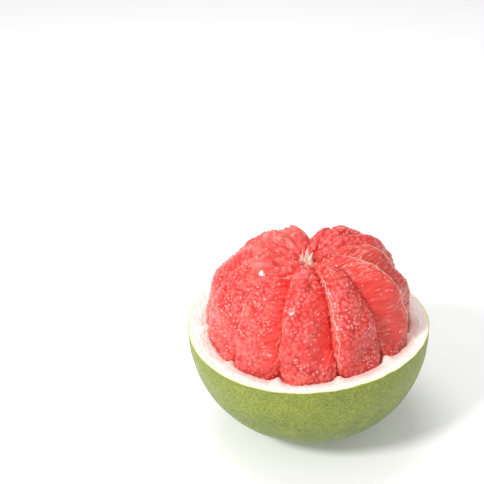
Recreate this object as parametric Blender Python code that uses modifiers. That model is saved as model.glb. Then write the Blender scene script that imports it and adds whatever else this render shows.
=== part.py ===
"""An opened pomelo, in metres, +Z up, resting on the small flat spot under its rind.

The upper half of the rind is cut away. The lower half is a bowl of green skin and
thick white pith, and the peeled flesh stands in it: twelve bare segments round a
core of pith. The origin is on the fruit's axis, level with the flat spot, and -Y
is the side from which the fruit is usually seen.
"""

import math

import bmesh
import bpy
from mathutils import Matrix, Vector

# Rind: a bowl whose outside is a slightly squared ellipse, turned about Z
RIND_RADIUS = 0.0800
RIM_HEIGHT = 0.0760
SQUARENESS = 2.2
FLAT_SPOT_RADIUS = 0.0150
SCAR_RADIUS = 0.0055
SCAR_DEPTH = 0.0008
SKIN_EDGE = 0.0009
RIM_SLOPE_DEPTH = 0.0025
RIM_SLOPE_START = 0.0010
RIM_LIP_DROP = 0.0012
RIND_STEPS = 64
OUTSIDE_RINGS = 18
INSIDE_RINGS = 14

# The knife left the rim as a low double wave: two crests and two dips
WAVE_HEIGHT = 0.0020
WAVE_CREST = math.radians(-42)
WAVE_REACH = 0.0250

# Flesh: the ball of segments, widest at the level of the rim
FLESH_RADIUS = 0.0689
FLESH_DEPTH = 0.0620
CROWN_DIMPLE_DEPTH = 0.0140
CROWN_DIMPLE_RADIUS = 0.0160
FOOT_DIMPLE_DEPTH = 0.0030
SEGMENT_ROUNDING = 0.0095
SEGMENT_GAP = 0.0006
MERIDIAN_STEPS = 20
WEDGE_STEPS = 2
SHARP_EDGE = math.radians(45)
PLAIN_INNER_RADIUS = 0.0080

# Core: the pith column that the segments grew on
CORE_RADIUS = 0.0038
CORE_TIP_HEIGHT = 0.0540
CORE_SHOULDER_HEIGHT = 0.0440
CORE_WAIST = 0.85
CORE_FOOT = 0.70
CORE_FOOT_HEIGHT = 0.0060
CORE_TIP_RADIUS = 0.0008
CORE_NECK_RADIUS = 0.0020
CORE_STEPS = 20

# Clear space between the flesh and the rind, and between the core and the rest
FIT_GAP = 0.0006
CORE_FOOT_GAP = 0.0010

# Each segment: first and last bearing in degrees, counted from +X towards +Y, then
# how far it reaches from the axis and how high its crown is above the rim, in mm
SEGMENTS = (
    (-106.5, -73.2, 68.9, 59.5),
    (-73.2, -42.3, 67.4, 58.0),
    (-42.3, -17.9, 68.6, 60.0),
    (-17.9, 9.0, 67.8, 60.5),
    (9.0, 36.0, 68.5, 60.0),
    (36.0, 62.0, 68.2, 59.0),
    (62.0, 88.0, 68.8, 61.0),
    (88.0, 118.0, 68.4, 61.5),
    (118.0, 150.0, 68.8, 60.5),
    (150.0, 187.0, 68.5, 58.5),
    (187.0, 222.3, 68.7, 58.5),
    (222.3, 253.5, 68.3, 59.0),
)


def clear_scene():
    for old in list(bpy.data.objects):
        bpy.data.objects.remove(old, do_unlink=True)


def new_material(name, colour, roughness):
    material = bpy.data.materials.new(name)
    material.use_nodes = True
    shader = material.node_tree.nodes["Principled BSDF"]
    shader.inputs["Base Color"].default_value = (*colour, 1.0)
    shader.inputs["Roughness"].default_value = roughness
    shader.inputs["Metallic"].default_value = 0.0
    return material


def new_object(name, mesh, collection):
    obj = bpy.data.objects.new(name, mesh)
    collection.objects.link(obj)
    return obj


def profile_mesh(name, points):
    """An open line of (radius, height) points in the XZ plane, ready to be turned."""
    mesh = bpy.data.meshes.new(name)
    vertices = [(radius, 0.0, height) for radius, height in points]
    edges = [(i, i + 1) for i in range(len(points) - 1)]
    mesh.from_pydata(vertices, edges, [])
    return mesh


def turned(name, points, steps, collection):
    """A profile turned right round Z, with the Screw modifier made real."""
    guide = new_object(name + "_profile", profile_mesh(name + "_profile", points), collection)
    screw = guide.modifiers.new("Turn", "SCREW")
    screw.axis = "Z"
    screw.steps = screw.render_steps = steps
    screw.use_merge_vertices = True
    screw.merge_threshold = 0.00005
    bpy.context.view_layer.update()
    graph = bpy.context.evaluated_depsgraph_get()
    mesh = bpy.data.meshes.new_from_object(guide.evaluated_get(graph))
    mesh.name = name
    bpy.data.objects.remove(guide, do_unlink=True)
    return new_object(name, mesh, collection)


def smooth_round_faces(obj, sharp_angle):
    obj.data.shade_smooth()
    obj.data.set_sharp_from_angle(angle=math.radians(sharp_angle))


def squared_ellipse(angle, radius, depth):
    """Radius and depth at an angle below the rim of the rind's outside."""
    power = 2 / SQUARENESS
    return radius * math.cos(angle) ** power, depth * math.sin(angle) ** power


def rind_outside():
    """The rind's outside, from the rim down to the flat spot."""
    last = math.acos((FLAT_SPOT_RADIUS / RIND_RADIUS) ** (SQUARENESS / 2))
    full_depth = RIM_HEIGHT / math.sin(last) ** (2 / SQUARENESS)
    points = []
    for i in range(OUTSIDE_RINGS + 1):
        radius, depth = squared_ellipse(last * i / OUTSIDE_RINGS, RIND_RADIUS, full_depth)
        points.append((radius, RIM_HEIGHT - depth))
    points[0] = (RIND_RADIUS, RIM_HEIGHT - SKIN_EDGE / 2)
    return points


def rind_inside():
    """The pith's hollow, from the middle of its floor up to the rim."""
    radius = FLESH_RADIUS + FIT_GAP
    depth = FLESH_DEPTH + FIT_GAP
    rim_angle = math.asin((RIM_SLOPE_DEPTH + RIM_LIP_DROP) / depth)
    points = []
    for i in range(INSIDE_RINGS + 1):
        angle = math.pi / 2 + (rim_angle - math.pi / 2) * i / INSIDE_RINGS
        points.append((radius * math.cos(angle), RIM_HEIGHT - depth * math.sin(angle)))
    points[0] = (0.0, RIM_HEIGHT - depth)
    return points


def rim_lift(vertex):
    """How far the wavy cut lifts a point: fully at the rim, not at all well below it."""
    below = RIM_HEIGHT - vertex.co.z
    share = max(0.0, 1.0 - below / WAVE_REACH)
    bearing = math.atan2(vertex.co.y, vertex.co.x)
    return WAVE_HEIGHT * share**2 * math.cos(2 * (bearing - WAVE_CREST))


def make_rind(collection, skin, pith):
    slope_start = (FLESH_RADIUS + FIT_GAP + RIM_SLOPE_START, RIM_HEIGHT - RIM_SLOPE_DEPTH)
    skin_start = (RIND_RADIUS - SKIN_EDGE, RIM_HEIGHT)
    scar = [
        (SCAR_RADIUS, 0.0),
        (SCAR_RADIUS * 0.6, SCAR_DEPTH),
        (0.0, SCAR_DEPTH),
    ]
    points = rind_inside() + [slope_start, skin_start] + rind_outside() + scar
    rind = turned("rind", points, RIND_STEPS, collection)
    for vertex in rind.data.vertices:
        vertex.co.z += rim_lift(vertex)
    rind.data.materials.append(skin)
    rind.data.materials.append(pith)
    for face in rind.data.polygons:
        faces_in = face.normal.dot(Vector((face.center.x, face.center.y, 0))) < 0
        faces_up = face.normal.z > 0.5 and face.center.z > SCAR_DEPTH * 2
        face.material_index = 1 if faces_in or faces_up else 0
    smooth_round_faces(rind, 40)
    return rind


def segment_outline(reach, crown):
    """A segment seen from its side: (radius, height) points round its outer edge."""
    inner = CORE_RADIUS + FIT_GAP
    first = -math.acos(inner / reach)
    points = []
    for i in range(MERIDIAN_STEPS + 1):
        angle = first * (1 - 2 * i / MERIDIAN_STEPS)
        radius = reach * math.cos(angle)
        if angle < 0:
            dimple = FOOT_DIMPLE_DEPTH * math.exp(-((radius / CROWN_DIMPLE_RADIUS) ** 2))
            height = FLESH_DEPTH * math.sin(angle) + dimple
        else:
            dimple = CROWN_DIMPLE_DEPTH * math.exp(-((radius / CROWN_DIMPLE_RADIUS) ** 2))
            height = crown * math.sin(angle) - dimple
        points.append((radius, height + RIM_HEIGHT))
    return points


def make_segment(name, first_deg, last_deg, reach_mm, crown_mm, collection, flesh):
    """One wedge of flesh: its outline swept round the core, then rounded on its back."""
    first, last = math.radians(first_deg), math.radians(last_deg)
    middle = (first + last) / 2
    # Moved out along its middle, the wedge keeps an even gap to both neighbours
    shift = SEGMENT_GAP / 2 / math.sin((last - first) / 2)
    reach = reach_mm / 1000 - shift
    shape = bmesh.new()
    corners = [
        shape.verts.new((radius, 0.0, height))
        for radius, height in segment_outline(reach, crown_mm / 1000)
    ]
    side = shape.faces.new(corners)
    bmesh.ops.rotate(
        shape, verts=corners, cent=(0, 0, 0), matrix=Matrix.Rotation(first, 3, "Z")
    )
    bmesh.ops.spin(
        shape,
        geom=[side, *side.edges, *side.verts],
        cent=(0, 0, 0),
        axis=(0, 0, 1),
        angle=last - first,
        steps=WEDGE_STEPS,
    )
    bmesh.ops.recalc_face_normals(shape, faces=shape.faces)
    weight = shape.edges.layers.float.new("bevel_weight_edge")
    for edge in shape.edges:
        radius = sum(vertex.co.xy.length for vertex in edge.verts) / 2
        if edge.calc_face_angle(0) > SHARP_EDGE and radius > PLAIN_INNER_RADIUS:
            edge[weight] = radius / reach
    out = Vector((math.cos(middle), math.sin(middle), 0)) * shift
    bmesh.ops.translate(shape, verts=shape.verts, vec=out)
    mesh = bpy.data.meshes.new(name)
    shape.to_mesh(mesh)
    shape.free()
    segment = new_object(name, mesh, collection)
    rounding = segment.modifiers.new("Rounded back", "BEVEL")
    rounding.limit_method = "WEIGHT"
    rounding.width = SEGMENT_ROUNDING
    rounding.segments = 3
    rounding.use_clamp_overlap = True
    mesh.materials.append(flesh)
    smooth_round_faces(segment, 50)
    return segment


def make_core(collection, pith):
    """The core column, frayed to a point above the segments' inner ends."""
    foot = RIM_HEIGHT - FLESH_DEPTH + CORE_FOOT_GAP
    shoulder = RIM_HEIGHT + CORE_SHOULDER_HEIGHT
    tip = RIM_HEIGHT + CORE_TIP_HEIGHT
    points = [
        (0.0, tip),
        (CORE_TIP_RADIUS, tip - CORE_TIP_RADIUS),
        (CORE_NECK_RADIUS, (shoulder + tip) / 2),
        (CORE_RADIUS, shoulder),
        (CORE_RADIUS * CORE_WAIST, RIM_HEIGHT),
        (CORE_RADIUS, foot + CORE_FOOT_HEIGHT),
        (CORE_RADIUS * CORE_FOOT, foot),
        (0.0, foot),
    ]
    core = turned("core", points, CORE_STEPS, collection)
    core.data.materials.append(pith)
    smooth_round_faces(core, 50)
    return core


def main():
    clear_scene()
    pomelo = bpy.data.collections.new("Opened pomelo")
    bpy.context.scene.collection.children.link(pomelo)
    skin = new_material("Green skin", (0.20, 0.32, 0.05), 0.42)
    pith = new_material("White pith", (0.93, 0.84, 0.78), 0.75)
    flesh = new_material("Red flesh", (0.78, 0.07, 0.06), 0.22)
    make_rind(pomelo, skin, pith)
    make_core(pomelo, pith)
    for number, measures in enumerate(SEGMENTS, start=1):
        make_segment(f"segment_{number:02d}", *measures, pomelo, flesh)


main()
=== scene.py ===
import math

import bpy
import numpy as np
from mathutils import Euler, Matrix, Vector, kdtree, noise


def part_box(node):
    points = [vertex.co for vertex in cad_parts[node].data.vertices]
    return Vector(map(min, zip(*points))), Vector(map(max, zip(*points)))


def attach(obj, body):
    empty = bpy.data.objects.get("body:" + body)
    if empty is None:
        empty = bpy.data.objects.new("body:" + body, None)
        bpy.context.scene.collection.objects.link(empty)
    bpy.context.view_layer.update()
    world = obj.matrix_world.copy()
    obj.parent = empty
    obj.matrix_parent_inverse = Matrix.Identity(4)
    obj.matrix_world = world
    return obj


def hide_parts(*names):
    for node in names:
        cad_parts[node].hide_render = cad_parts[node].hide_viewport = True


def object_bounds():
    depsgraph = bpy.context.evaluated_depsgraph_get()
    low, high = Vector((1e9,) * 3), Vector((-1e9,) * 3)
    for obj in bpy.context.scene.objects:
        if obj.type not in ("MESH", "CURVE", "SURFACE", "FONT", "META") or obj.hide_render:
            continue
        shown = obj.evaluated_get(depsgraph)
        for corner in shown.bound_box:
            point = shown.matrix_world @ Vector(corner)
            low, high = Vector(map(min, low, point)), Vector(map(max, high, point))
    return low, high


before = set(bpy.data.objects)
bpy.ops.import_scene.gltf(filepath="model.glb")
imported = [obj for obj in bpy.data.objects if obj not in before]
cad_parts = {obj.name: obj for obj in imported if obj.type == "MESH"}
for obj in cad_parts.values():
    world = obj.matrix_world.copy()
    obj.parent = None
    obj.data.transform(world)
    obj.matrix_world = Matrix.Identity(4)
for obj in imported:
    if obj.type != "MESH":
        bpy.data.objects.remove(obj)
cadBox = [list(corner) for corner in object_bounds()]
picker = np.random.default_rng(11)

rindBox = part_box("rind")
waveHeight = .002
rimHeight = rindBox[1].z - waveHeight
rindRadius = rindBox[1].x
centre = np.array((0, 0, rimHeight))     # everything in the flesh is laid out round this point


# small helpers

def deselectAll():
    if bpy.context.mode != "OBJECT":
        bpy.ops.object.mode_set(mode="OBJECT")
    bpy.ops.object.select_all(action="DESELECT")


def pick(piece):
    deselectAll()
    piece.select_set(True)
    bpy.context.view_layer.objects.active = piece


def applyModifier(piece, kind, **settings):
    pick(piece)
    modifier = piece.modifiers.new(kind.title(), kind)
    for name, value in settings.items():
        setattr(modifier, name, value)
    bpy.ops.object.modifier_apply(modifier=modifier.name)


def smoothShade(piece, angle=180):
    pick(piece)
    bpy.ops.object.shade_smooth_by_angle(angle=math.radians(angle))


def settle(piece):
    # puts the piece's place in its mesh, as the frame's own pieces have it
    pick(piece)
    bpy.ops.object.transform_apply(location=True, rotation=True, scale=True)


def places(piece):
    flat = np.empty(len(piece.data.vertices) * 3, np.float32)
    piece.data.vertices.foreach_get("co", flat)
    return flat.reshape(-1, 3).astype(float)


def pointNormals(piece):
    flat = np.empty(len(piece.data.vertices) * 3, np.float32)
    piece.data.vertex_normals.foreach_get("vector", flat)
    return flat.reshape(-1, 3).astype(float)


def setPlaces(piece, points):
    piece.data.vertices.foreach_set("co", points.astype(np.float32).ravel())
    piece.data.update()


def writeAttribute(piece, name, values):
    attribute = piece.data.attributes.new(name, "FLOAT", "POINT")
    attribute.data.foreach_set("value", np.asarray(values, np.float32))


def unit(vectors):
    return vectors / np.maximum(np.linalg.norm(vectors, axis=-1, keepdims=True), 1e-12)


def smoothStep(low, high, value):
    share = np.clip((value - low) / (high - low), 0, 1)
    return share * share * (3 - 2 * share)


def wrapTurn(angle):
    # the same bearing, between half a turn back and half a turn on
    return (angle + math.pi) % (2 * math.pi) - math.pi


def lumps(points, size, seed=0.0):
    # soft noise, about -1 to 1, with bumps of that size
    return np.array([noise.noise(Vector(p / size) + Vector((seed, seed, seed))) for p in points]) * 2


def finished(piece, paints, slot, *nodes):
    piece.data.materials.clear()
    for paint in paints:
        piece.data.materials.append(paint.material)
    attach(piece, "root")
    if nodes:
        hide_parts(*nodes)
    return piece


# shader sums, written as they would be on paper

class Value:
    def __init__(self, paint, socket):
        self.paint = paint
        self.socket = socket

    def sum(self, operation, first, second):
        return self.paint.make("ShaderNodeMath", {"operation": operation}, {0: first, 1: second})

    def __add__(self, other):
        return self.sum("ADD", self, other)

    def __radd__(self, other):
        return self.sum("ADD", other, self)

    def __sub__(self, other):
        return self.sum("SUBTRACT", self, other)

    def __rsub__(self, other):
        return self.sum("SUBTRACT", other, self)

    def __mul__(self, other):
        return self.sum("MULTIPLY", self, other)

    def __rmul__(self, other):
        return self.sum("MULTIPLY", other, self)


class Paint:
    def __init__(self, name):
        self.material = bpy.data.materials.new(name)
        self.material.use_nodes = True
        self.tree = self.material.node_tree
        self.shader = self.tree.nodes["Principled BSDF"]
        self.where = self.make("ShaderNodeTexCoord", out="Object")

    def make(self, kind, settings=None, links=None, out=0):
        node = self.tree.nodes.new(kind)
        for name, value in (settings or {}).items():
            setattr(node, name, value)
        for name, value in (links or {}).items():
            self.plug(node.inputs[name], value)
        return Value(self, node.outputs[out])

    def plug(self, socket, value):
        if isinstance(value, Value):
            self.tree.links.new(value.socket, socket)
        elif isinstance(value, tuple) and len(value) == 3 and socket.type == "RGBA":
            socket.default_value = (*value, 1)
        else:
            socket.default_value = value

    def set(self, **sockets):
        for name, value in sockets.items():
            self.plug(self.shader.inputs[name.replace("_", " ")], value)

    def attribute(self, name):
        return self.make("ShaderNodeAttribute", {"attribute_name": name}, out="Fac")

    def noise(self, size, detail=3.0, roughness=.5, warp=0.0, where=None):
        sockets = {"Vector": where or self.where, "Scale": 1 / size, "Detail": detail}
        return self.make("ShaderNodeTexNoise", {}, {**sockets, "Roughness": roughness, "Distortion": warp})

    def cells(self, size):
        sockets = {"Vector": self.where, "Scale": 1 / size}
        return self.make("ShaderNodeTexVoronoi", {}, sockets, out="Distance")

    def span(self, value, low, high, start=0.0, end=1.0):
        ends = {"From Min": low, "From Max": high, "To Min": start, "To Max": end}
        return self.make("ShaderNodeMapRange", {"interpolation_type": "SMOOTHSTEP"}, {"Value": value, **ends})

    def mix(self, share, first, second):
        return self.make("ShaderNodeMix", {"data_type": "RGBA"}, {0: share, 6: first, 7: second}, out=2)

    def bump(self, height, depth, under=None):
        sockets = {"Height": height, "Strength": 1.0, "Distance": depth}
        if under is not None:
            sockets["Normal"] = under
        return self.make("ShaderNodeBump", {}, sockets)


# camera and light

view = {
    "elevation": 33.5, "distance": .70, "lens": 78,
    "turnLeft": 3.57, "tiltUp": 4.23,
    "world": .50,
    # place, size in metres and power of each soft light
    "lights": {
        "windowLeft": ((-.80, -.80, 1.05), .32, 16),
        "skyAbove": ((-.15, .30, 1.35), .90, 8),
        "fillRight": ((1.10, -.55, .60), .80, .8),
    },
}


def setUpView():
    rise = math.radians(view["elevation"])
    aim = Vector(centre)
    camera = bpy.data.objects.new("camera", bpy.data.cameras.new("camera"))
    camera.location = aim + Vector((0, -math.cos(rise), math.sin(rise))) * view["distance"]
    straight = (aim - camera.location).to_track_quat("-Z", "Y")
    nudge = Euler((math.radians(view["tiltUp"]), math.radians(view["turnLeft"]), 0)).to_quaternion()
    camera.rotation_euler = (straight @ nudge).to_euler()
    camera.data.lens = view["lens"]
    camera.data.clip_start = .01
    bpy.context.scene.collection.objects.link(camera)
    bpy.context.scene.camera = camera
    for name, (place, size, power) in view["lights"].items():
        light = bpy.data.objects.new(name, bpy.data.lights.new(name, "AREA"))
        light.data.shape = "DISK"
        light.data.size = size
        light.data.energy = power
        light.location = place
        light.rotation_euler = (aim - Vector(place)).to_track_quat("-Z", "Y").to_euler()
        bpy.context.scene.collection.objects.link(light)
    world = bpy.data.worlds.new("studio")
    world.use_nodes = True
    world.node_tree.nodes["Background"].inputs["Color"].default_value = (1, 1, 1, 1)
    world.node_tree.nodes["Background"].inputs["Strength"].default_value = view["world"]
    bpy.context.scene.world = world
    bpy.context.scene.view_settings.view_transform = "Standard"


def layFloor():
    deselectAll()
    bpy.ops.mesh.primitive_plane_add(size=8, location=(0, 0, cadBox[0][2]))
    floor = bpy.context.view_layer.objects.active
    floor.name = "floor"
    paper = Paint("paleFloor")
    paper.set(Base_Color=(.93, .93, .93), Roughness=.9, Emission_Color=(1, 1, 1), Emission_Strength=.12)
    floor.data.materials.append(paper.material)


setUpView()
layFloor()
print("view and floor ready")


# rind: green skin on thick white pith

rind = {
    "steps": 384, "outerRings": 92, "rimRings": 44, "innerRings": 26,
    "inset": .00012,                 # keeps the pores inside the fruit's full width
    "squareness": 2.2, "flatSpot": .015, "scarRadius": .0055, "scarDepth": .0008,
    "innerRadius": .0655, "innerDepth": .0626,
    "slopeStart": (.0672, -.0024), "skin": .0009,
    "waveCrest": math.radians(-42), "waveReach": .025,
    "cutWobble": .00022, "pithRoughness": .00032, "skinLumps": .00016,
    # the peaks of torn pith: their size, how far they lean in, and the ring of cut that they stand on
    "peakWidth": math.radians(2.6), "peakHeight": .0030, "peakLean": .0022,
    "peakRadii": (.0735, .0690), "peakDepths": (-.012, -.0032),
    "innerTop": .0037,               # how far below the rim the hollow's round wall starts
    "pithFrom": .7,                  # mm in from the skin's outside
}


def rindProfile():
    # radius and height from the rim, out of the middle of the foot, up, over the cut and down inside
    radius = rindRadius - rind["inset"]
    power = 2 / rind["squareness"]
    last = math.acos((rind["flatSpot"] / radius) ** (1 / power))
    depth = rimHeight / math.sin(last) ** power
    angles = np.linspace(last, 0, 200)
    outer = np.column_stack((radius * np.cos(angles) ** power, -depth * np.sin(angles) ** power))
    outer[:, 1] = np.maximum(outer[:, 1], -rimHeight)
    outer[-1, 1] = -rind["skin"] * .45
    scar = rind["scarRadius"]
    foot = [(0, -rimHeight + rind["scarDepth"]), (scar * .6, -rimHeight + rind["scarDepth"])]
    foot += [(scar, -rimHeight)]
    rim = [(radius - rind["skin"] * .35, -.0001), (radius - rind["skin"], 0), rind["slopeStart"]]
    start = math.asin(rind["innerTop"] / rind["innerDepth"])
    down = np.linspace(start, math.pi / 2, 60)
    inner = np.column_stack((rind["innerRadius"] * np.cos(down), -rind["innerDepth"] * np.sin(down)))
    stretches = [np.vstack((foot, outer)), np.vstack((outer[-1:], rim, inner[:1])), inner]
    counts = [rind["outerRings"], rind["rimRings"], rind["innerRings"]]
    rings = []
    for stretch, count in zip(stretches, counts):
        steps = np.linalg.norm(np.diff(stretch, axis=0), axis=1)
        travelled = np.concatenate(([0], np.cumsum(steps)))
        wanted = np.linspace(0, travelled[-1], count + 1)[(1 if rings else 0):]
        columns = [np.interp(wanted, travelled, stretch[:, k]) for k in (0, 1)]
        rings += list(zip(*columns))
    return np.array(rings)


def makeRind(boundaries):
    rings = rindProfile()
    deselectAll()
    # a ball whose top is pushed down inside it: its rings become the bowl's outside, cut and inside
    bpy.ops.mesh.primitive_uv_sphere_add(segments=rind["steps"], ring_count=len(rings) - 1, radius=1)
    bowl = bpy.context.view_layer.objects.active
    bowl.name = "rindBowl"
    points = places(bowl)
    share = np.arccos(np.clip(-points[:, 2], -1, 1)) / math.pi * (len(rings) - 1)
    index = np.rint(share).astype(int)
    bearing = np.arctan2(points[:, 1], points[:, 0])
    radius = rings[index, 0]
    height = rings[index, 1]
    onRim = (index > rind["outerRings"]) & (index <= rind["outerRings"] + rind["rimRings"] + 3)
    out = np.column_stack((np.cos(bearing), np.sin(bearing), np.zeros(len(points))))
    flat = np.column_stack((radius[:, None] * out[:, :2], height))
    # the pith is torn up into a small peak between every two segments
    nearest = np.min([np.abs(wrapTurn(bearing - edge)) for edge in boundaries], axis=0)
    uneven = .65 + .45 * lumps(out * .07, .02, 4.0)
    inwards = smoothStep(*rind["peakRadii"], radius) * smoothStep(*rind["peakDepths"], height)
    peak = np.exp(-(nearest / rind["peakWidth"]) ** 2) * inwards * uneven * (index > rind["outerRings"])
    height = height + rind["peakHeight"] * peak
    radius = radius - rind["peakLean"] * peak
    share = np.clip(1 + height / rind["waveReach"], 0, 1)
    height = height + waveHeight * share ** 2 * np.cos(2 * (bearing - rind["waveCrest"]))
    cut = smoothStep(-.004, 0, height) * onRim
    height = height + cut * rind["cutWobble"] * (lumps(flat, .009) + .5 * lumps(flat, .003, 7.0))
    fibres = lumps(flat, .0016, 2.0) + .6 * lumps(flat, .0007, 9.0)
    pithShare = onRim * smoothStep(rindRadius - .0008, rindRadius - .0022, radius)
    height = height + pithShare * rind["pithRoughness"] * fibres
    radius = radius - pithShare * rind["pithRoughness"] * .6 * np.abs(fibres) * (height < -.0032)
    outside = index <= rind["outerRings"]
    radius = radius + outside * rind["skinLumps"] * (lumps(flat, .013, 3.0) - 1) * smoothStep(0, .02, radius)
    points = np.column_stack((radius[:, None] * out[:, :2], height + rimHeight))
    points[:, 2] = np.maximum(points[:, 2], cadBox[0][2])
    setPlaces(bowl, points)
    fromSkin = np.where(outside, 0, np.minimum(rindRadius - rind["inset"] - radius, .03))
    writeAttribute(bowl, "fromSkin", fromSkin * 1000)
    writeAttribute(bowl, "belowRim", -height * 1000)
    smoothShade(bowl)
    return bowl


def skinPaint():
    p = Paint("greenSkin")
    rim = p.span(p.attribute("belowRim"), 0, 46, 1, 0)
    broad = p.noise(.030, 3)
    patches = p.noise(.011, 4, .6)
    pores = p.span(p.cells(.00125), .0, .50, 1, 0)
    between = p.span(p.noise(.0011, 3, .65), .40, .62)
    # the green is lighter near the rim and darker towards the foot
    green = p.mix(p.span(rim + broad * .7, .35, 1.15), (.120, .162, .022), (.235, .285, .024))
    green = p.mix(p.span(patches, .42, .72, 0, .55), green, (.36, .41, .070))
    green = p.mix(p.span(p.noise(.022, 2), .52, .75, 0, .40), green, (.15, .18, .050))
    green = p.mix((1 - between) * .42, green, (.085, .130, .006))
    green = p.mix(pores * .36, green, (.070, .110, .006))
    green = p.mix(between * .30, green, (.42, .48, .05))
    cut = p.attribute("fromSkin")
    edge = p.mix(p.span(cut, .25, .75), (.34, .42, .06), (.86, .82, .42))
    p.set(Base_Color=p.mix(p.span(cut, .02, .22), green, edge))
    p.set(Roughness=p.span(patches, .3, .7, .34, .48), Subsurface_Weight=.06, Subsurface_Scale=.002)
    under = p.bump(p.noise(.0042, 3), .0006)
    p.set(Normal=p.bump(1 - pores, .00045, under))
    return p


def pithPaint():
    p = Paint("whitePith")
    cut = p.attribute("fromSkin")
    cotton = p.noise(.0016, 5, .65)
    broad = p.noise(.010, 3)
    white = p.mix(p.span(cotton, .3, .7), (.90, .80, .74), (.97, .94, .90))
    blush = p.span(cut, 5.5, 10.5, 0, .62) * p.span(broad, .25, .7, .35, 1)
    white = p.mix(blush, white, (.90, .45, .38))
    white = p.mix(p.span(cut, .75, 1.8, 1, 0), white, (.92, .88, .62))
    p.set(Base_Color=white, Roughness=.72, Subsurface_Weight=.35, Subsurface_Radius=(1.0, .7, .55))
    p.set(Subsurface_Scale=.003)
    p.set(Normal=p.bump(cotton + .5 * p.noise(.0006, 3), .0007))
    return p


# flesh: twelve bare segments packed with juice sacs

# level: a segment's reach against the others. shoulder: how much it swells halfway up to the crown.
# ridge: where across its back it stands highest, 0 at its left edge and 1 at its right.
# left and right: how much of its reach it loses towards each edge, and how sharply.
# bare: the slopes whose sacs lie open along the cut. plump: how much bigger the crown's sacs are.
# the last key: how far painted shade darkens its red towards a brownish red.
segmentShapes = {
    "segment_01": {"level": 1.000, "shoulder": .050, "ridge": .50, "left": (.040, 2.6), "right": (.165, 1.0),
                   "bare": "right", "plump": .6, "paintedShade": 0},
    "segment_02": {"level": .985, "shoulder": .055, "ridge": .35, "left": (.050, 2.0), "right": (.110, 2.4),
                   "bare": "", "plump": .5, "paintedShade": .2},
    "segment_03": {"level": 1.022, "shoulder": .072, "ridge": .88, "left": (.185, 1.0), "right": (.010, 2.0),
                   "bare": "left", "plump": .5, "paintedShade": .65},
    "segment_04": {"level": .990, "shoulder": .088, "ridge": .75, "left": (.120, 1.1), "right": (.050, 2.0),
                   "bare": "left", "plump": .6, "paintedShade": 1.0},
    "segment_05": {"level": .990, "shoulder": .115, "ridge": .65, "left": (.140, 1.3), "right": (.050, 2.0),
                   "bare": "", "plump": .8, "paintedShade": .35},
    "segment_06": {"level": .990, "shoulder": .095, "ridge": .50, "left": (.080, 2.0), "right": (.050, 2.2),
                   "bare": "", "plump": 1.0, "paintedShade": 0},
    "segment_07": {"level": .985, "shoulder": .015, "ridge": .28, "left": (.050, 2.4), "right": (.165, 1.2),
                   "bare": "", "plump": 1.3, "paintedShade": 0},
    "segment_08": {"level": .985, "shoulder": .015, "ridge": .62, "left": (.140, 1.4), "right": (.070, 2.2),
                   "bare": "", "plump": 2.0, "paintedShade": 0},
    "segment_09": {"level": .985, "shoulder": .055, "ridge": .50, "left": (.070, 2.4), "right": (.060, 2.2),
                   "bare": "", "plump": 2.0, "paintedShade": 0},
    "segment_10": {"level": .995, "shoulder": .045, "ridge": .62, "left": (.070, 2.4), "right": (.090, 1.8),
                   "bare": "", "plump": 1.7, "paintedShade": 0},
    "segment_11": {"level": .988, "shoulder": .048, "ridge": .26, "left": (.060, 2.0), "right": (.075, 1.5),
                   "bare": "", "plump": 1.2, "paintedShade": .1},
    "segment_12": {"level": .985, "shoulder": .050, "ridge": .64, "left": (.045, 2.4), "right": (.090, 1.2),
                   "bare": "right", "plump": .7, "paintedShade": 0},
}

flesh = {
    "ball": (.0685, .0685, .0600),    # half-widths and height of the twelve segments together
    "voxel": .00055,
    "blankVoxel": .0018,
    "backSac": .0025, "backLength": .0042, "sideSac": .0025, "sideLength": .0105,
    "crownSac": .0058, "crownLength": .0098,
    "crownReach": .046,               # sacs grow plumper within this distance of the core
    "hiddenDepth": .30,               # share of its reach that a side face shows, at most
    "hiddenDrop": .012,               # how far below the rim the sacs go on
    "tries": 9000,
    "baseNotch": .085,                # how deep the notches are cut where the segments meet the pith
    "pushedOut": .0006,               # closes the gaps between the segments
    "pulledIn": .0013,                # room that the sac heads take up outside the plain segment
    "coreRadius": .020, "coreHeight": .022,      # sacs go right in to the core within these
    "crownRadius": .038, "crownHeight": .026,    # where the big crown sacs lie
    "crownPlump": 1.1,                # segments at least this plump have them
    "bareRadius": .018, "bareHeight": .006,      # a bare slope starts beyond these
    "steepRadius": .030, "steepHeight": .040, "steepFacing": .62,
    "topRoom": .0006,                 # kept free under the top of the whole fruit
}


def sacTemplate():
    # one juice sac, a metre long and wide: a plump end at the top and a drawn-out tail
    deselectAll()
    bpy.ops.mesh.primitive_ico_sphere_add(subdivisions=2, radius=.5, location=(0, 0, 0))
    sac = bpy.context.view_layer.objects.active
    for height, narrowing in ((.05, .9), (-.2, .75), (-.4, .6)):
        for vertex in sac.data.vertices:
            vertex.select = vertex.co.z < height
        bpy.ops.object.mode_set(mode="EDIT")
        bpy.ops.transform.resize(value=(narrowing, narrowing, 1), center_override=(0, 0, 0))
        bpy.ops.object.mode_set(mode="OBJECT")
    corners = places(sac)
    faces = np.array([face.vertices[:] for face in sac.data.polygons])
    bpy.data.objects.remove(sac)
    return corners, faces


def copiesOf(template, seats, axes, widths, lengths, flattening=None):
    # every copy of the template at its seat, its top towards its axis
    corners, faces = template
    across = unit(np.cross(axes, picker.normal(size=axes.shape)))
    if flattening is not None:
        across = unit(np.cross(axes, flattening))
    third = np.cross(axes, across)
    thick = widths if flattening is None else widths * .45
    points = (
        seats[:, None]
        + corners[None, :, 0, None] * (across * widths[:, None])[:, None]
        + corners[None, :, 1, None] * (third * thick[:, None])[:, None]
        + corners[None, :, 2, None] * (axes * lengths[:, None])[:, None]
    )
    steps = np.arange(len(seats))[:, None, None] * len(corners)
    return points.reshape(-1, 3), (faces[None] + steps).reshape(-1, 3)


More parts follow.
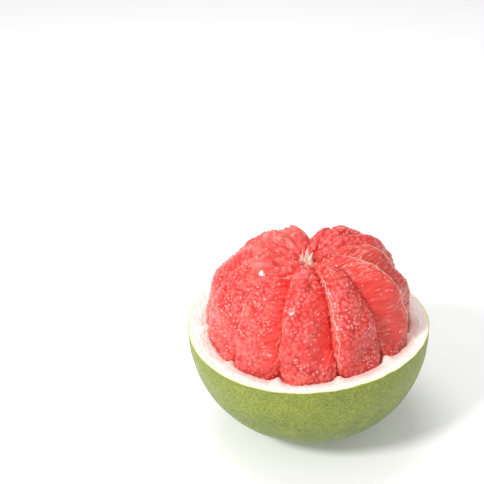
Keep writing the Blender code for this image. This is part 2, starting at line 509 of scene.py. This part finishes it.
def meshOf(name, points, faces):
    mesh = bpy.data.meshes.new(name)
    mesh.from_pydata(points.tolist(), [], faces.tolist())
    piece = bpy.data.objects.new(name, mesh)
    bpy.context.scene.collection.objects.link(piece)
    return piece


def segmentSpan(name):
    # bearings of the two sides of a segment, from the frame
    points = places(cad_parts[name])
    points = points[np.hypot(points[:, 0], points[:, 1]) > .03]
    middle = math.atan2(points[:, 1].mean(), points[:, 0].mean())
    turn = wrapTurn(np.arctan2(points[:, 1], points[:, 0]) - middle)
    return middle + turn.min(), middle + turn.max()


def ballNormals(points):
    # which way the whole ball of flesh faces at each point
    offsets = points - centre
    return unit(offsets / np.array(flesh["ball"]) ** 2)


def ballDepth(points):
    # 1 on the outside of the ball of flesh, 0 at its centre
    return np.linalg.norm((points - centre) / np.array(flesh["ball"]), axis=1)


def plainReach(points, across):
    # how far out the frame's own rounded segment comes, measured across its back
    band = (points[:, 2] > rimHeight) & (points[:, 2] < rimHeight + .030)
    depth = ballDepth(points)
    marks = np.linspace(0, 1, 26)
    reach = [depth[band & (np.abs(across - mark) < .03)].max() for mark in marks]
    return np.interp(across, marks, reach)


def makeBlank(name, shape, span):
    # the plain segment from the frame, pulled to its own ridge and slopes
    blank = bpy.data.objects.new(name + "Blank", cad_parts[name].data.copy())
    bpy.context.scene.collection.objects.link(blank)
    pick(blank)
    bpy.ops.object.mode_set(mode="EDIT")
    bpy.ops.mesh.select_all(action="SELECT")
    bpy.ops.mesh.remove_doubles(threshold=.00001)
    bpy.ops.object.mode_set(mode="OBJECT")
    applyModifier(blank, "REMESH", mode="VOXEL", voxel_size=flesh["blankVoxel"])
    points = places(blank)
    offsets = points - centre
    first, last = span
    turn = wrapTurn(np.arctan2(offsets[:, 1], offsets[:, 0]) - first)
    across = np.clip(turn / (last - first), 0, 1)
    ridge = shape["ridge"] + .05 * lumps(offsets * (0, 0, 1), .014, shape["level"] * 40)
    (leftLoss, leftPower), (rightLoss, rightPower) = shape["left"], shape["right"]
    toLeft = np.clip((ridge - across) / ridge, 0, 1)
    toRight = np.clip((across - ridge) / (1 - ridge), 0, 1)
    loss = leftLoss * toLeft ** leftPower + rightLoss * toRight ** rightPower
    loss *= .35 + .65 * smoothStep(0, .018, offsets[:, 2])
    toEdge = np.abs(across - .5) * 2
    loss = np.maximum(loss, flesh["baseNotch"] * toEdge ** 5 * smoothStep(.022, .004, offsets[:, 2]))
    wanted = shape["level"] * (1 - loss)
    core = np.hypot(offsets[:, 0], offsets[:, 1])
    steady = smoothStep(.008, .030, core)
    lift = np.arctan2(np.maximum(offsets[:, 2], 0) / flesh["ball"][2], core / flesh["ball"][0])
    swollen = 1 + shape["shoulder"] * np.sin(2 * lift) ** 2
    pull = wanted / plainReach(points, across)
    points = centre + offsets * (swollen * (1 + (pull - 1) * steady))[:, None]
    points += pointNormals(blank) * flesh["pushedOut"]
    outer = smoothStep(.55, .9, ballDepth(points))
    swell = lumps(points, .018, shape["level"] * 90) * .0014
    swell = swell + lumps(points, .008, shape["level"] * 50) * .0006 - flesh["pulledIn"]
    points += ballNormals(points) * (outer * swell)[:, None]
    setPlaces(blank, points)
    return blank


def scatter(blank, shape, span):
    # seats for the sacs, spaced by their own size, from random darts over the blank
    loops = np.empty(len(blank.data.loops), np.int32)
    blank.data.loops.foreach_get("vertex_index", loops)
    quads = loops.reshape(-1, 4)
    points = places(blank)
    normals = pointNormals(blank)
    middles = points[quads].mean(axis=1)
    seen = (ballDepth(middles) > 1 - flesh["hiddenDepth"]) & (middles[:, 2] > rimHeight - flesh["hiddenDrop"])
    near = np.hypot(middles[:, 0], middles[:, 1]) < flesh["coreRadius"]
    near &= middles[:, 2] > rimHeight + flesh["coreHeight"]
    quads = quads[seen | near]
    chosen = quads[picker.integers(0, len(quads), flesh["tries"])]
    shares = picker.dirichlet((1, 1, 1, 1), flesh["tries"])
    seats = np.einsum("ij,ijk->ik", shares, points[chosen])
    facing = unit(np.einsum("ij,ijk->ik", shares, normals[chosen]))
    ball = ballNormals(seats)
    onBack = (facing * ball).sum(axis=1)
    turn = wrapTurn(np.arctan2(seats[:, 1], seats[:, 0]) - span[0])
    beyond = turn / (span[1] - span[0]) - shape["ridge"]
    beyond = {"left": -beyond, "right": beyond, "": 0 * beyond - 1}[shape["bare"]]
    core = np.hypot(seats[:, 0], seats[:, 1])
    height = seats[:, 2] - rimHeight
    crown = (core < flesh["crownRadius"]) & (height > flesh["crownHeight"])
    crown &= shape["plump"] > flesh["crownPlump"]
    bareSlope = beyond + picker.normal(0, .05, len(seats)) > .05
    bareSlope &= (height > flesh["bareHeight"]) & (core > flesh["bareRadius"])
    steep = (onBack < flesh["steepFacing"]) & (core > flesh["steepRadius"]) & (height < flesh["steepHeight"])
    onSide = bareSlope | steep
    flatOut = unit(ball * (1, 1, .55))
    inPlane = unit(flatOut - facing * ((facing * flatOut).sum(axis=1) * .94)[:, None])
    axes = np.where(onSide[:, None], inPlane, unit(facing + picker.normal(0, .22, facing.shape)))
    lying = inPlane + picker.normal(0, .22, facing.shape)
    lying = unit(lying - facing * ((facing * lying).sum(axis=1) - .05)[:, None])
    axes = np.where(crown[:, None], lying, axes)
    plump = 1 + shape["plump"] * smoothStep(flesh["crownReach"], .012, core) * (height > .02)
    sizes = plump * picker.uniform(.8, 1.25, len(seats))
    widths = np.where(onSide, flesh["sideSac"], flesh["backSac"]) * sizes
    lengths = np.where(onSide, flesh["sideLength"], flesh["backLength"]) * sizes ** .6
    widths = np.where(crown, flesh["crownSac"] * picker.uniform(.70, 1.15, len(seats)), widths)
    lengths = np.where(crown, flesh["crownLength"] * picker.uniform(.75, 1.1, len(seats)), lengths)
    kept = []
    keptSeats = np.empty((0, 3))
    for i in range(len(seats)):
        if kept:
            gaps = keptSeats - seats[i]
            along = gaps @ axes[i]
            acrossSquared = np.maximum((gaps ** 2).sum(axis=1) - along ** 2, 0)
            reach = lengths[i] * (.62 if onSide[i] or crown[i] else .75)
            wide = widths[i] * (.92 if crown[i] else .80)
            if ((along / reach) ** 2 + acrossSquared / wide ** 2).min() < 1:
                continue
        kept.append(i)
        keptSeats = np.vstack((keptSeats, seats[i]))
    kept = np.array(kept)
    sunk = np.where(onSide, 0, lengths * .5 - widths * .46)
    sunk = np.where(crown, widths * .02, sunk)
    centres = seats - facing * sunk[:, None] - axes * (lengths * np.where(onSide, .22, 0))[:, None]
    return centres[kept], axes[kept], widths[kept], lengths[kept], onSide[kept], facing[kept]


def nearestSac(points, sacs):
    # for each point: which sac it is on, and how far off that sac's line, in sac half-widths
    centres, axes, widths, lengths, onSide, facing = sacs
    tree = kdtree.KDTree(len(centres) * 5)
    for i in range(len(centres)):
        for share in (-.4, -.2, 0, .2, .4):
            tree.insert(centres[i] + axes[i] * lengths[i] * share, i)
    tree.balance()
    owner = np.array([tree.find(p)[1] for p in points])
    gaps = points - centres[owner]
    along = (gaps * axes[owner]).sum(axis=1)
    off = np.sqrt(np.maximum((gaps ** 2).sum(axis=1) - along ** 2, 0)) / (widths[owner] / 2)
    return owner, off


def thinHidden(piece):
    # faces between two segments and below the rim need few points
    points = places(piece)
    hidden = ballDepth(points) < .95 - flesh["hiddenDepth"]
    hidden |= points[:, 2] < rimHeight - flesh["hiddenDrop"] - .004
    hidden &= ~((np.hypot(points[:, 0], points[:, 1]) < .024) & (points[:, 2] > rimHeight + .02))
    group = piece.vertex_groups.new(name="hidden")
    group.add(np.flatnonzero(hidden).tolist(), 1.0, "REPLACE")
    ratio = 1 - hidden.mean() * .95
    applyModifier(piece, "DECIMATE", ratio=float(ratio), vertex_group="hidden", vertex_group_factor=1000)
    piece.vertex_groups.clear()


def makeSegment(name, shape, span, template):
    blank = makeBlank(name, shape, span)
    sacs = scatter(blank, shape, span)
    centres, axes, widths, lengths, onSide, facing = sacs
    packed = meshOf(name + "Sacs", *copiesOf(template, centres, axes, widths, lengths))
    pick(blank)
    packed.select_set(True)
    bpy.ops.object.join()
    blank.name = name.replace("segment_", "fleshSegment")
    applyModifier(blank, "REMESH", mode="VOXEL", voxel_size=flesh["voxel"])
    thinHidden(blank)
    applyModifier(blank, "SMOOTH", factor=.5, iterations=2)
    points = places(blank)
    points[:, 2] = np.minimum(points[:, 2], cadBox[1][2] - flesh["topRoom"])
    setPlaces(blank, points)
    owner, off = nearestSac(points, sacs)
    writeAttribute(blank, "sacTint", picker.uniform(0, 1, len(centres))[owner])
    # crevice: how far a point lies out in the gap between sacs; the flesh paint darkens it as painted shade
    # and also lays pale film there
    writeAttribute(blank, "crevice", smoothStep(.70, 1.25, off))
    writeAttribute(blank, "sideFace", onSide[owner].astype(float))
    # painted shade: one darkening amount per segment, written on every point
    writeAttribute(blank, "paintedShade", np.full(len(points), shape["paintedShade"]))
    turn = wrapTurn(np.arctan2(points[:, 1], points[:, 0]) - span[0])
    across = turn / (span[1] - span[0])
    band = np.exp(-((across - shape["ridge"]) / .08) ** 2) * (shape["bare"] == "left")
    band = np.maximum(band, smoothStep(.06, .0, np.minimum(across, 1 - across)) * .6)
    writeAttribute(blank, "paleBand", band * smoothStep(.80, .90, ballDepth(points)))
    smoothShade(blank)
    print(name, "has", len(centres), "sacs and", len(blank.data.polygons), "faces")
    return blank, sacs


def fleshPaint():
    p = Paint("redFlesh")
    tint = p.attribute("sacTint")
    crevice = p.attribute("crevice")
    side = p.attribute("sideFace")
    veil = p.span(p.noise(.012, 4, .62, 1.2), .48, .74)
    threads = p.span(p.noise(.0024, 4, .7, 1.8), .56, .72)
    back = p.mix(tint, (.72, .052, .048), (.84, .135, .112))
    back = p.mix(veil * .60, back, (.93, .33, .28))
    back = p.mix(threads * .34 * (1 - crevice), back, (1.0, .54, .46))
    sides = p.mix(tint, (.82, .028, .030), (.90, .095, .078))
    sides = p.mix(veil * .35, sides, (.90, .20, .16))
    colour = p.mix(side, back, sides)
    band = p.attribute("paleBand") * p.span(p.noise(.0042, 3, .6), .36, .60)
    colour = p.mix(band * .75, colour, (.95, .38, .30))
    # painted shade: whole segments darkened towards a brownish red, by the amount given per segment
    colour = p.mix(p.attribute("paintedShade") * .6, colour, (.52, .075, .055))
    blotch = p.span(p.noise(.013, 3, .6, .8), .38, .66)
    # painted shade: the crevices between the sacs on the backs are darkened to a deep red, more in some
    # blotches than in others
    colour = p.mix(crevice * (1 - side) * p.span(blotch, 0, 1, .52, .82), colour, (.52, .010, .014))
    film = side * crevice * p.span(p.noise(.009, 3, .6, .6), .42, .62)
    colour = p.mix(film * .75, colour, (1.0, .48, .40))
    # painted shade: on the side faces, the crevices that the pale film does not cover are darkened to a deep
    # red
    colour = p.mix(side * crevice * (1 - film) * .40, colour, (.50, .008, .012))
    p.set(Base_Color=colour, Roughness=p.span(threads, 0, 1, .20, .34))
    p.set(Subsurface_Weight=.65, Subsurface_Radius=(1.0, .20, .16), Subsurface_Scale=.0055)
    p.set(Coat_Weight=.35, Coat_Roughness=.06, IOR=1.34, Specular_IOR_Level=.40)
    p.set(Normal=p.bump(p.noise(.0009, 3) + .5 * p.noise(.00035, 2), .00014))
    return p


# the pale tips and hairs of the sac stalk ends, left where the skin of a segment was peeled off; they are
# made whiter and brighter than the real ends so that they also stand in for glints, a painted highlight

stalksAndGlints = {"share": .60, "width": .00056, "length": .00085, "hair": .0024, "hairShare": .16, "proud": .00008}


def makeStalksAndGlints(segments):
    deselectAll()
    bpy.ops.mesh.primitive_ico_sphere_add(subdivisions=1, radius=.5, location=(0, 0, 0))
    grain = bpy.context.view_layer.objects.active
    template = places(grain), np.array([face.vertices[:] for face in grain.data.polygons])
    bpy.data.objects.remove(grain)
    parts = []
    for name, (piece, (centres, axes, widths, lengths, onSide, facing)) in segments.items():
        clusters = smoothStep(-.35, .45, lumps(centres, .011, 30.0))
        chosen = picker.random(len(centres)) < stalksAndGlints["share"] * clusters
        centres, axes, onSide, facing = centres[chosen], axes[chosen], onSide[chosen], facing[chosen]
        lengths = lengths[chosen]
        tips = centres + np.where(onSide[:, None], axes * (lengths * .35)[:, None], 0)
        tips += picker.normal(0, .0004, tips.shape)
        seats, normals = [], []
        for tip, out in zip(tips, facing):
            hit, place, normal, face = piece.ray_cast(Vector(tip + out * .006), Vector(-out), distance=.012)
            seats.append(place if hit else Vector((0, 0, 0)))
            normals.append(normal if hit else Vector((0, 0, 0)))
        seats, normals = np.array(seats), np.array(normals)
        good = np.linalg.norm(normals, axis=1) > .5
        seats, normals, axes, onSide = seats[good], normals[good], axes[good], onSide[good]
        lie = unit(np.cross(normals, picker.normal(size=normals.shape)))
        lie = np.where(onSide[:, None], axes + lie * .35, lie)
        lie = unit(lie - normals * (lie * normals).sum(axis=1)[:, None])
        hair = picker.random(len(seats)) < stalksAndGlints["hairShare"] * (1 + 1.5 * onSide)
        widths = stalksAndGlints["width"] * picker.uniform(.6, 1.4, len(seats)) * np.where(hair, .75, 1)
        lengths = np.where(hair, stalksAndGlints["hair"], stalksAndGlints["length"]) * picker.uniform(.6, 1.35, len(seats))
        seats = seats + normals * stalksAndGlints["proud"]
        parts.append(copiesOf(template, seats, lie, widths, np.maximum(lengths, widths), normals))
    points, faces, count = [], [], 0
    for partPoints, partFaces in parts:
        points.append(partPoints)
        faces.append(partFaces + count)
        count += len(partPoints)
    piece = meshOf("sacStalksAndGlints", np.vstack(points), np.vstack(faces))
    corners = places(piece)
    corners[:, 2] = np.minimum(corners[:, 2], cadBox[1][2] - .0002)
    setPlaces(piece, corners)
    smoothShade(piece)
    print("stalks ready,", len(piece.data.polygons), "faces")
    return piece


def stalkAndGlintPaint():
    p = Paint("paleStalkAndGlint")
    # partly painted highlight: the whitest of these pale tips and hairs stand in for glints on the wet sacs
    p.set(Base_Color=p.mix(p.noise(.004, 2), (1.0, .60, .52), (1.0, .90, .84)), Roughness=.25)
    p.set(Subsurface_Weight=.3, Subsurface_Radius=(1.0, .6, .5), Subsurface_Scale=.001, Coat_Weight=.6)
    p.set(Normal=p.bump(p.noise(.0003, 2), .00004))
    return p


# threads: what is left of the thin walls between the segments

# segment, where across it, first and last height in degrees above the rim, thickness in mm
threadRuns = (
    ("segment_02", .02, 3, 62, .60),
    ("segment_02", .12, 26, 44, .22),
    ("segment_03", .90, 6, 30, .50),
    ("segment_03", .88, 36, 64, .45),
    ("segment_03", .04, 14, 44, .28),
    ("segment_04", .80, 10, 34, .45),
    ("segment_04", .76, 40, 60, .40),
    ("segment_05", .70, 18, 50, .35),
    ("segment_12", .97, 1, 24, .30),
    ("segment_12", .06, 18, 36, .25),
    ("segment_11", .95, 34, 56, .28),
    ("segment_11", .38, 10, 20, .32),
    ("segment_01", .50, 58, 72, .32),
    ("segment_10", .95, 26, 50, .26),
    ("segment_09", .97, 34, 60, .26),
    ("segment_08", .97, 30, 58, .30),
    ("segment_07", .05, 28, 56, .30),
    ("segment_06", .05, 18, 50, .30),
)


def surfaceLine(piece, span, across, low, high, wander, seed):
    line = []
    count = max(int((high - low) * 1.1), 6)
    for i in range(count):
        lift = math.radians(low + (high - low) * i / (count - 1))
        drift = wander * noise.noise(Vector((i * .21, seed, 0)))
        bearing = span[0] + (span[1] - span[0]) * (across + drift)
        out = Vector((math.cos(lift) * math.cos(bearing), math.cos(lift) * math.sin(bearing), math.sin(lift)))
        hit, place, normal, face = piece.ray_cast(Vector(centre) + out * .12, -out)
        if hit:
            line.append(place + out * .0003)
    for _ in range(3):
        middle = [(line[i - 1] + line[i] * 2 + line[i + 1]) / 4 for i in range(1, len(line) - 1)]
        line = [line[0]] + middle + [line[-1]]
    return line


def makeThreads(segments, spans):
    pieces = []
    for number, (name, across, low, high, thickness) in enumerate(threadRuns):
        line = surfaceLine(segments[name][0], spans[name], across, low, high, .07, number * 3.7)
        curve = bpy.data.curves.new("thread", "CURVE")
        curve.dimensions = "3D"
        curve.bevel_depth = thickness / 2000
        curve.bevel_resolution = 1
        curve.resolution_u = 3
        curve.use_fill_caps = True
        spline = curve.splines.new("NURBS")
        spline.points.add(len(line) - 1)
        spline.use_endpoint_u = True
        for i, (point, place) in enumerate(zip(spline.points, line)):
            taper = min(1, (i + .4) / 4, (len(line) - i - .6) / 4)
            point.co = (*place, 1)
            point.radius = taper * (.75 + .6 * noise.noise(Vector((i * .37, number, 5))))
        piece = bpy.data.objects.new("thread", curve)
        bpy.context.scene.collection.objects.link(piece)
        pick(piece)
        bpy.ops.object.convert(target="MESH")
        pieces.append(bpy.context.view_layer.objects.active)
    pick(pieces[0])
    for piece in pieces:
        piece.select_set(True)
    bpy.ops.object.join()
    threads = bpy.context.view_layer.objects.active
    threads.name = "wallThreads"
    bpy.ops.object.mode_set(mode="EDIT")
    bpy.ops.mesh.select_all(action="SELECT")
    bpy.ops.mesh.remove_doubles(threshold=.00001)
    bpy.ops.mesh.normals_make_consistent(inside=False)
    bpy.ops.object.mode_set(mode="OBJECT")
    smoothShade(threads)
    print("threads ready,", len(threads.data.polygons), "faces")
    return threads


# core: the frayed column of pith that the segments grew on

coreTuft = {
    "radius": .0040, "foot": -.0600, "shoulder": .0430, "sway": (-.0022, -.0006),
    "overlap": .012, "tipRadius": .00022, "unevenness": .00040, "voxel": .00034,
    # bearing and distance from the axis, tip height above the rim, width and lean in mm, then flatness
    "slivers": (
        (195, 1.0, 54.0, 2.0, -.2, .8), (236, 2.4, 49.5, 2.1, 1.8, .8), (290, 1.8, 48.0, 2.8, .2, .9),
        (8, 2.6, 54.0, 4.6, 3.2, .26), (60, 2.6, 55.0, 4.2, 1.6, .30), (140, 2.0, 50.0, 2.6, 1.2, .7),
    ),
}


def makeCore():
    deselectAll()
    length = coreTuft["shoulder"] - coreTuft["foot"]
    middle = rimHeight + (coreTuft["shoulder"] + coreTuft["foot"]) / 2
    bpy.ops.mesh.primitive_cylinder_add(
        vertices=20, radius=coreTuft["radius"], depth=length, location=(0, 0, middle)
    )
    column = bpy.context.view_layer.objects.active
    settle(column)
    pieces = [column]
    low = coreTuft["shoulder"] - coreTuft["overlap"]
    for bearing, reach, tip, width, lean, flat in coreTuft["slivers"]:
        turn = math.radians(bearing)
        out = Vector((math.cos(turn), math.sin(turn), 0))
        height = tip / 1000 - low
        place = Vector((0, 0, rimHeight + low + height / 2)) + out * reach / 1000
        bpy.ops.mesh.primitive_cone_add(
            vertices=10, radius1=width / 1000, radius2=coreTuft["tipRadius"], depth=height, location=place
        )
        sliver = bpy.context.view_layer.objects.active
        bpy.ops.object.mode_set(mode="EDIT")
        bpy.ops.mesh.select_all(action="SELECT")
        bpy.ops.mesh.subdivide(number_cuts=5)
        bpy.ops.transform.resize(value=(1, flat, 1), center_override=place)
        bpy.ops.object.mode_set(mode="OBJECT")
        settle(sliver)
        points = places(sliver)
        rise = np.clip((points[:, 2] - rimHeight - low) / height, 0, 1)
        points[:, :2] += np.array(out[:2]) * (lean / 1000 * rise ** 2)[:, None]
        wander = np.column_stack([lumps(points, .004, bearing + k) for k in range(3)])
        points += wander * coreTuft["unevenness"]
        setPlaces(sliver, points)
        pieces.append(sliver)
    pick(column)
    for piece in pieces:
        piece.select_set(True)
    bpy.ops.object.join()
    core = bpy.context.view_layer.objects.active
    core.name = "pithCore"
    applyModifier(core, "REMESH", mode="VOXEL", voxel_size=coreTuft["voxel"])
    points = places(core)
    along = points * np.array((1, 1, .25))
    points += pointNormals(core) * (lumps(along, .0011, 5.0) * .00018)[:, None]
    rise = smoothStep(.030, .050, points[:, 2] - rimHeight)
    points[:, :2] += np.array(coreTuft["sway"]) * rise[:, None]
    setPlaces(core, points)
    applyModifier(core, "SMOOTH", factor=.5, iterations=1)
    smoothShade(core)
    return core


def corePaint():
    p = Paint("corePith")
    stretched = p.make("ShaderNodeMapping", {}, {"Vector": p.where, "Scale": (1, 1, .2)})
    fibre = p.noise(.0012, 4, .6, where=stretched)
    height = p.make("ShaderNodeSeparateXYZ", {}, {0: p.where}, out="Z")
    rise = p.span(height, rimHeight + .042, rimHeight + .052)
    colour = p.mix(p.span(fibre, .3, .7), (1.0, .70, .52), (1.0, .93, .80))
    p.set(Base_Color=p.mix(rise * .30, colour, (1.0, .74, .65)), Roughness=.50)
    p.set(Subsurface_Weight=.5, Subsurface_Radius=(1.0, .6, .45), Subsurface_Scale=.003)
    p.set(Normal=p.bump(fibre, .0003))
    return p


def threadPaint():
    p = Paint("paleThread")
    fade = p.span(p.noise(.003, 3), .35, .65)
    p.set(Base_Color=p.mix(fade, (.93, .36, .30), (1.0, .70, .62)), Roughness=.35)
    p.set(Subsurface_Weight=.5, Subsurface_Radius=(1.0, .45, .35), Subsurface_Scale=.002, Coat_Weight=.3)
    p.set(Normal=p.bump(p.noise(.0005, 3), .0001))
    return p


boundaries = []
spans = {}
for name in sorted(segmentShapes):
    spans[name] = segmentSpan(name)
    boundaries.append(spans[name][0])

bowl = makeRind(boundaries)
skin = skinPaint()
pith = pithPaint()
finished(bowl, (skin, pith), "rind", "rind")
cutDepth = np.empty(len(bowl.data.vertices), np.float32)
bowl.data.attributes["fromSkin"].data.foreach_get("value", cutDepth)
for face in bowl.data.polygons:
    face.material_index = int(min(cutDepth[list(face.vertices)]) > rind["pithFrom"])
print("rind ready,", len(bowl.data.polygons), "faces")

template = sacTemplate()
redFlesh = fleshPaint()
segments = {}
for name, shape in segmentShapes.items():
    piece, sacs = makeSegment(name, shape, spans[name], template)
    segments[name] = (piece, sacs)
    finished(piece, (redFlesh,), "flesh", name)

finished(makeStalksAndGlints(segments), (stalkAndGlintPaint(),), "core_pith")
finished(makeThreads(segments, spans), (threadPaint(),), "core_pith")
finished(makeCore(), (corePaint(),), "core_pith", "core")
print("core ready")
